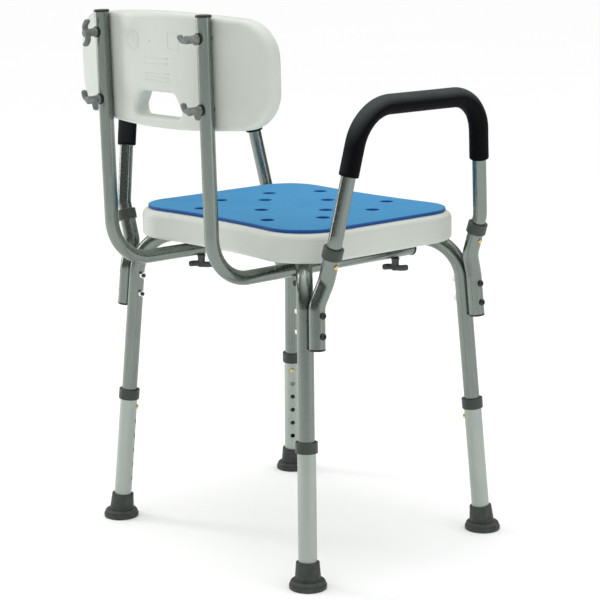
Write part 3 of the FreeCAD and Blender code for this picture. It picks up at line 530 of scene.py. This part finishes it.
def inside_outline(spot):
    """Whether a flat point lies inside the pad's flat top."""
    return inside(spot, PAD_FLAT_OUTLINE)


def pad_swell(x, y):
    """How high the foam's top stands over a flat sheet: a low crown, dimpled round the holes."""
    edge = max(abs(x) / PAD_HALF_X, abs(y) / PAD_HALF_Y)
    swell = PAD_CROWN * (1 - edge ** 6)
    for hole in pad_holes():
        gap = math.hypot(x - hole.x, y - hole.y) - PAD_HOLE_R
        if gap < PAD_DIMPLE_REACH:
            swell -= PAD_DIMPLE * (1 - gap / PAD_DIMPLE_REACH) ** 2
    return swell + 0.00025 * noise.noise(Vector((x * 18, y * 18, 3.1)))


def seat_pad():
    """Foam pad with softened edges, a low crown and holes over the seat's drains."""
    low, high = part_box("seat_pad")
    thick = high.z - low.z
    steps = 5
    rims = []
    for step in range(steps + 1):
        turn = math.pi / 2 * step / steps
        rims.append((PAD_EDGE_R * (1 - math.sin(turn)), thick - PAD_EDGE_R * (1 - math.cos(turn))))
    rims += [(rim[0], thick - rim[1]) for rim in reversed(rims)]
    makers = [waisted_loop] + [lambda i, z, c=centre: hole_loop(c, i, z) for centre in pad_holes()]
    verts = []
    faces = []
    for make in makers:
        loops = [make(inset, height) for inset, height in rims]
        count = len(loops[0])
        start = len(verts)
        for loop in loops:
            verts += loop
        for ring in range(len(loops) - 1):
            for k in range(count):
                beside = (k + 1) % count
                row = start + ring * count
                faces.append((row + k, row + beside, row + count + beside, row + count + k))
    for inset, height in (rims[0], rims[-1]):
        loops = [make(inset, height) for make in makers]
        flat, kept = pad_face(loops, height, len(verts))
        verts += flat
        faces += kept
    centre = (low + high) / 2
    moved = []
    for v in verts:
        lift = pad_swell(v.x, v.y) * v.z / thick - (PAD_CROWN if v.z > thick / 2 else 0)
        moved.append(Vector((centre.x + v.x, centre.y + v.y, low.z + v.z + lift)))
    pad = new_object("seat_pad_foam", moved, faces)
    paint(pad, "pad_foam")
    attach(pad, "frame")
    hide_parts("seat_pad")


# ---------------------------------------------------------------- armrest grips

def armrest_point(side, end, height):
    """Point on an armrest leg's centreline."""
    share = (height - ARM_LOW_Z) / (ARM_TOP_Z - ARM_LOW_Z)
    middle_y = box_middle("armrest_grip_" + side).y
    x = ARM_LOW_X + (ARM_TOP_X - ARM_LOW_X) * share
    y = ARM_LOW_Y + (ARM_TOP_Y - ARM_LOW_Y) * share
    return Vector((SIDES[side] * x, middle_y + end * y, height))


def armrest_grip(side):
    """Foam grip with softly rounded ends, a little uneven along its length."""
    points = [
        armrest_point(side, -1, GRIP_LOW_Z),
        armrest_point(side, -1, ARM_TOP_Z),
        armrest_point(side, 1, ARM_TOP_Z),
        armrest_point(side, 1, GRIP_LOW_Z),
    ]
    line = bent_line(points, [ARM_BEND_R, ARM_BEND_R], math.radians(4), 0.006)
    last = len(line) - 1

    def outer(index):
        wave = noise.noise(Vector((index * 0.21, SIDES[side] * 4.0, 0.5)))
        return GRIP_R - 0.00025 + 0.00025 * wave

    turns = [math.pi / 2 * step / 6 for step in range(7)]
    rings = []
    for turn in turns:
        radius = outer(0) - GRIP_END_ROUND * (1 - math.sin(turn))
        rings.append((0, radius, GRIP_END_ROUND * (1 - math.cos(turn))))
    rings += [(index, outer(index), 0.0) for index in range(1, last)]
    for turn in turns:
        radius = outer(last) - GRIP_END_ROUND * (1 - math.cos(turn))
        rings.append((last, radius, GRIP_END_ROUND * (math.sin(turn) - 1)))
    rings += [(index, GRIP_BORE_R, 0.0) for index in range(last, -1, -1)]
    grip = sweep("armrest_grip_foam_" + side, line, rings)
    paint(grip, "grip_foam")
    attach(grip, "armrest_" + side)
    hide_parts("armrest_grip_" + side)


# ---------------------------------------------------------------- wing knobs

def turned(name, profile, sides=36):
    """Closed body turned about Z from (radius, height) pairs."""
    verts = []
    faces = []
    for radius, height in profile:
        for k in range(sides):
            turn = 2 * math.pi * k / sides
            verts.append(Vector((radius * math.cos(turn), radius * math.sin(turn), height)))
    for ring in range(len(profile) - 1):
        for k in range(sides):
            beside = (k + 1) % sides
            row = ring * sides
            faces.append((row + k, row + beside, row + sides + beside, row + sides + k))
    faces.append(tuple(range(sides)))
    faces.append(tuple(range((len(profile) - 1) * sides, len(profile) * sides)))
    return new_object(name, verts, faces)


def wing_body(stem):
    """S-shaped wing bar with a rounded section, swelling a little towards its tips."""
    half = WING_SPAN / 2 - WING_T / 2
    steps, sides = 40, 20
    verts = []
    faces = []
    line = []
    for step in range(steps + 1):
        x = -half + 2 * half * step / steps
        share = x / half
        y = -WING_CURL * share ** 3 + WING_BULGE * math.sin(math.pi * share) * 0.9
        line.append(Vector((x, y, stem + WING_H / 2)))
    headings = headings_along(line)
    for step, (point, heading) in enumerate(zip(line, headings)):
        share = abs(2 * step / steps - 1)
        across = heading.cross(Vector((0, 0, 1))).normalized()
        swell = WING_WAIST + WING_SWELL * share ** 2
        past_start = max(0.0, (share - WING_TIP_START) / (1 - WING_TIP_START))
        closing = math.sqrt(max(0.02, 1 - past_start ** 2 * 0.98))
        for k in range(sides):
            turn = 2 * math.pi * k / sides
            c, s = math.cos(turn), math.sin(turn)
            flat = math.copysign(abs(c) ** WING_SQUARENESS, c) * WING_T / 2 * swell * closing
            tall = math.copysign(abs(s) ** WING_SQUARENESS, s) * WING_H / 2 * closing
            verts.append(point + across * flat + Vector((0, 0, tall)))
    for ring in range(steps):
        for k in range(sides):
            beside = (k + 1) % sides
            row = ring * sides
            faces.append((row + k, row + beside, row + sides + beside, row + sides + k))
    faces.append(tuple(range(sides)))
    faces.append(tuple(range(steps * sides, (steps + 1) * sides)))
    return new_object("wing", verts, faces)


def knob_mesh(name, stem, stud_length):
    """Moulded knob: wing and stem melted together into one skin, with the stud added below it and its base at z =
    0.
    """
    top = stem + WING_H
    hub = turned("hub", [
        (KNOB_HUB_R + 0.0008, 0.0), (KNOB_HUB_R + 0.0008, 0.0016), (KNOB_HUB_R, 0.0032),
        (KNOB_HUB_R - 0.0006, stem), (KNOB_HUB_R, top - 0.001), (KNOB_HUB_R - 0.0012, top),
    ])
    wing = wing_body(stem)
    both = bmesh.new()
    both.from_mesh(hub.data)
    both.from_mesh(wing.data)
    both.to_mesh(hub.data)
    both.free()
    bpy.data.objects.remove(wing)
    applied(
        hub,
        ("REMESH", {"mode": "VOXEL", "voxel_size": KNOB_VOXEL}),
        ("SMOOTH", {"factor": 0.5, "iterations": 4}),
    )
    stud = turned("stud", [(STUD_R, -stud_length), (STUD_R, 0.0004)])
    both = bmesh.new()
    both.from_mesh(hub.data)
    both.from_mesh(stud.data)
    mesh = bpy.data.meshes.new(name)
    both.to_mesh(mesh)
    both.free()
    for left_over in (hub, stud):
        bpy.data.objects.remove(left_over)
    mesh.polygons.foreach_set("use_smooth", [True] * len(mesh.polygons))
    return mesh


def wing_knob(node, body, joint, mesh, turn, slot):
    """Knob on its joint's axis, standing for the plainer CAD knob."""
    knob = bpy.data.objects.new(node + "_grip", mesh.copy())
    bpy.context.scene.collection.objects.link(knob)
    outward = Vector(JOINTS[joint]["axis"]).normalized()
    x_axis = Vector((0, 0, 1)) if abs(outward.z) < 0.5 else Vector((1, 0, 0))
    x_axis = (x_axis - outward * x_axis.dot(outward)).normalized()
    y_axis = outward.cross(x_axis)
    basis = Matrix((x_axis, y_axis, outward)).transposed()
    low = knob_seat(node, outward)
    knob.matrix_world = Matrix.Translation(low) @ (basis @ Matrix.Rotation(turn, 3, "Z")).to_4x4()
    paint(knob, slot)
    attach(knob, body)
    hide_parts(node)


def knob_seat(node, outward):
    """Point on a knob's axis where its head starts, found from how far the CAD knob reaches along that axis."""
    points = [v.co for v in NODES[node].data.vertices]
    reach = max(p.dot(outward) for p in points)
    joint_point = knob_axis_point(node)
    stem = SEAT_STEM if node.startswith("seat") else BACK_STEM
    return joint_point + outward * (reach - joint_point.dot(outward) - WING_H - stem)


def knob_axis_point(node):
    """Point that a knob's joint gives for its axis."""
    for joint in JOINTS.values():
        if joint["child"] == node:
            return Vector(joint["pos_m"])
    raise ValueError(node)


def all_knobs():
    """The four knobs under the seat and the four behind the backrest."""
    seat_mesh = knob_mesh("seat_knob_shape", SEAT_STEM, SEAT_STUD)
    back_mesh = knob_mesh("back_knob_shape", BACK_STEM, BACK_STUD)
    for corner in CORNERS:
        name = "seat_knob_" + corner
        turn = math.radians(SEAT_KNOB_TURNS[corner])
        wing_knob(name, name, "seat_knob_turn_" + corner, seat_mesh, turn, "dark_knob_plastic")
    for spot in BACK_KNOBS:
        name = "back_knob_" + spot
        turn = math.radians(BACK_KNOB_TURNS[spot])
        wing_knob(name, name, "back_knob_turn_" + spot, back_mesh, turn, "knob_plastic")


# ---------------------------------------------------------------- backrest marks

def panel_skin(tree, middle, spot):
    """Point and outward normal on the backrest's rear face, across and up from the panel's middle."""
    start = Vector((middle.x + spot[0], middle.y + 1, middle.z + spot[1]))
    point, normal, _, _ = tree.ray_cast(start, Vector((0, -1, 0)))
    return point, normal


def raised_line(tree, middle, spots, closed):
    """Vertices and faces of a low rounded rib along a path on the backrest's rear face."""
    section = ((-0.5, -0.4), (-0.32, 0.7), (0.0, 1.0), (0.32, 0.7), (0.5, -0.4))
    verts = []
    faces = []
    count = len(spots)
    for index, spot in enumerate(spots):
        point, normal = panel_skin(tree, middle, spot)
        before = spots[index - 1] if closed or index else spot
        after = spots[(index + 1) % count] if closed or index < count - 1 else spot
        along = Vector((after[0] - before[0], 0, after[1] - before[1])).normalized()
        across = normal.cross(along).normalized()
        for sideways, up in section:
            verts.append(point + across * sideways * MARK_WIDTH + normal * up * MARK_HEIGHT)
    size = len(section)
    for index in range(count if closed else count - 1):
        row = index * size
        after_row = (index + 1) % count * size
        for k in range(size):
            beside = (k + 1) % size
            faces.append((row + k, row + beside, after_row + beside, after_row + k))
    if not closed:
        faces.append(tuple(range(size)))
        faces.append(tuple(range((count - 1) * size, count * size)))
    return verts, faces


def circle_spots(x, z, radius, count):
    """Points round a circle on the backrest."""
    turns = [2 * math.pi * k / count for k in range(count)]
    return [(x + radius * math.cos(turn), z + radius * math.sin(turn)) for turn in turns]


def rounded_square_spots(x, z, half):
    """Points round a square with small round corners."""
    straight = half - MARK_SQUARE_ROUND
    spots = []
    for quarter, (side_x, side_z) in enumerate(((1, 1), (-1, 1), (-1, -1), (1, -1))):
        for step in range(5):
            turn = math.pi / 2 * (quarter + step / 4)
            spot_x = x + side_x * straight + MARK_SQUARE_ROUND * math.cos(turn)
            spots.append((spot_x, z + side_z * straight + MARK_SQUARE_ROUND * math.sin(turn)))
    return spots


def backrest_marks():
    """Plain raised marks that the mould leaves on the backrest: ring, dot, square and short lines."""
    panel = NODES["backrest_panel"].data
    tree = BVHTree.FromPolygons([v.co for v in panel.vertices], [p.vertices for p in panel.polygons])
    low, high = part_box("backrest_panel")
    middle = (low + high) / 2
    paths = [
        (circle_spots(*MARK_RING, 40), True),
        (circle_spots(*MARK_DOT, 10), True),
        (rounded_square_spots(*MARK_SQUARE), True),
    ]
    for x, z in MARK_LINES:
        paths.append(([(x - MARK_LINE_LENGTH * k / 8, z) for k in range(9)], False))
    verts = []
    faces = []
    for spots, closed in paths:
        more, skin = raised_line(tree, middle, spots, closed)
        faces += [tuple(len(verts) + k for k in face) for face in skin]
        verts += more
    marks = new_object("backrest_marks", verts, faces)
    paint(marks, "seat_plastic")
    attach(marks, "frame")


# ---------------------------------------------------------------- scene

def feet_middle():
    """Point on the floor in the middle of the four feet."""
    total = sum((box_middle("foot_" + corner) for corner in CORNERS), Vector((0, 0, 0)))
    return Vector((total.x / 4, total.y / 4, 0))


def add_camera():
    """Camera at the photographed angle."""
    data = bpy.data.cameras.new("camera")
    data.lens = CAMERA_LENS
    data.sensor_width = CAMERA_SENSOR
    data.clip_end = 200
    camera = bpy.data.objects.new("camera", data)
    bpy.context.scene.collection.objects.link(camera)
    back = -CAMERA_LOOK.normalized()
    right = Vector((0, 0, 1)).cross(back).normalized()
    up = back.cross(right)
    rolled_right = right * math.cos(CAMERA_ROLL) + up * math.sin(CAMERA_ROLL)
    rolled_up = up * math.cos(CAMERA_ROLL) - right * math.sin(CAMERA_ROLL)
    turn = Matrix((rolled_right, rolled_up, back)).transposed().to_4x4()
    camera.matrix_world = Matrix.Translation(feet_middle() + CAMERA_OFFSET) @ turn
    bpy.context.scene.camera = camera


def add_area(name, place, aim, width, height, power, colour):
    """Soft box aimed at a point."""
    data = bpy.data.lights.new(name, "AREA")
    data.shape = "RECTANGLE"
    data.size = width
    data.size_y = height
    data.energy = power
    data.color = colour
    lamp = bpy.data.objects.new(name, data)
    bpy.context.scene.collection.objects.link(lamp)
    lamp.location = place
    lamp.rotation_mode = "QUATERNION"
    lamp.rotation_quaternion = (Vector(aim) - Vector(place)).to_track_quat("-Z", "Y")


def add_world():
    """Soft room light: bright overhead, dimmer towards the horizon."""
    world = bpy.data.worlds.new("studio")
    bpy.context.scene.world = world
    world.use_nodes = True
    nodes, links = world.node_tree.nodes, world.node_tree.links
    split = nodes.new("ShaderNodeSeparateXYZ")
    ramp = nodes.new("ShaderNodeValToRGB")
    links.new(nodes.new("ShaderNodeTexCoord").outputs["Generated"], split.inputs[0])
    links.new(split.outputs["Z"], ramp.inputs["Fac"])
    links.new(ramp.outputs["Color"], nodes["Background"].inputs["Color"])
    ramp.color_ramp.elements[0].position = 0.0
    ramp.color_ramp.elements[0].color = ROOM_HORIZON
    ramp.color_ramp.elements[1].position = 0.9
    ramp.color_ramp.elements[1].color = ROOM_TOP
    for position, colour in ROOM_BETWEEN:
        ramp.color_ramp.elements.new(position).color = colour
    nodes["Background"].inputs["Strength"].default_value = ROOM_STRENGTH


def add_studio():
    """Floor, world and soft boxes."""
    floor = new_object("floor", [(-60, -60, 0), (60, -60, 0), (60, 60, 0), (-60, 60, 0)], [(0, 1, 2, 3)])
    floor.data.materials.append(floor_paint())
    add_world()
    for name, place, width, height, power, colour in SOFT_BOXES:
        add_area(name, place, (0, 0, 0.5), width, height, power, colour)
    bpy.context.scene.view_settings.view_transform = "Standard"


def shade_cad():
    """Better materials on the CAD nodes that stay."""
    for entry in frame["record"]["subparts"]:
        made = NODES[entry["node"]]
        dark = entry["node"].startswith(DARK_TUBES)
        made.data.materials.clear()
        made.data.materials.append(MATERIALS["dark_aluminium" if dark else entry["material_slot"]])


add_camera()
add_studio()
MATERIALS = all_materials()
shade_cad()
seat_pad()
for arm_side in SIDES:
    armrest_grip(arm_side)
all_knobs()
backrest_marks()
